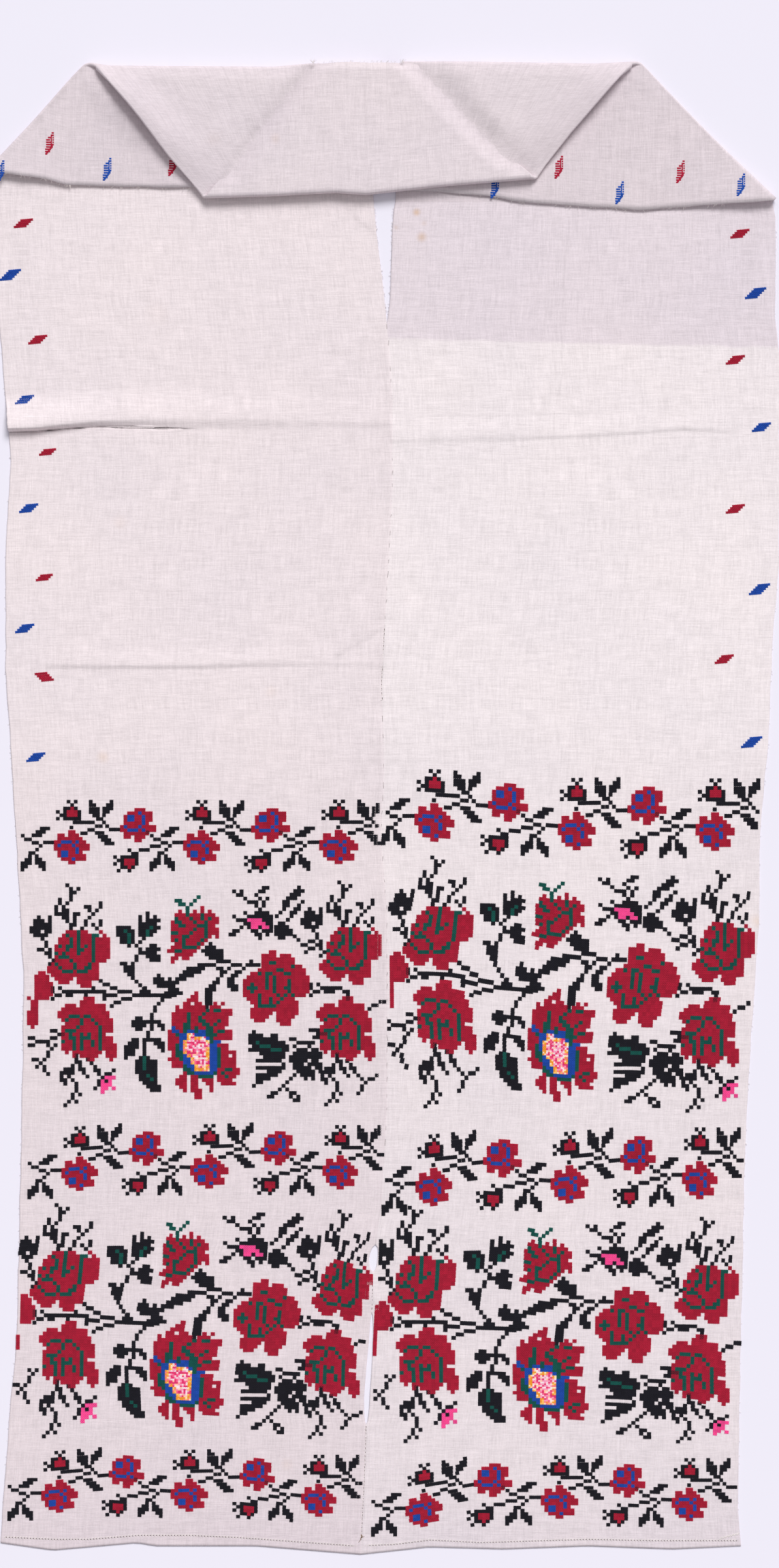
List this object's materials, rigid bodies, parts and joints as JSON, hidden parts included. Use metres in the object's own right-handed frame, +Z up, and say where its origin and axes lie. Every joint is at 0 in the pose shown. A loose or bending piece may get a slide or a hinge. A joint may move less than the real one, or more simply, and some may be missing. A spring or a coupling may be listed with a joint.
{
  "type": "rushnyk ritual towel",
  "caption": "Long embroidered linen towel bent into a narrow inverted U and sewn side to side, with pleated top corners, laid flat face up.",
  "frame": {"origin": "centre of the laid towel's outline, on the surface it rests on", "axes": "+X to the right and +Y up the towel towards the pleated bridge, seen from above with the face up; +Z up, off the surface"},
  "size_m": [0.749, 1.416, 0.0132],
  "materials": {
    "linen": "matt, plain-woven, uneven homespun yarn",
    "red_yarn": "matt cotton cross stitch",
    "black_yarn": "matt cotton cross stitch",
    "blue_yarn": "matt cotton cross stitch",
    "green_yarn": "matt cotton cross stitch",
    "pink_yarn": "matt cotton cross stitch",
    "orange_yarn": "matt cotton cross stitch"
  },
  "bodies": {
    "root": {"linen_cloth": "linen"}
  },
  "joints": []
}
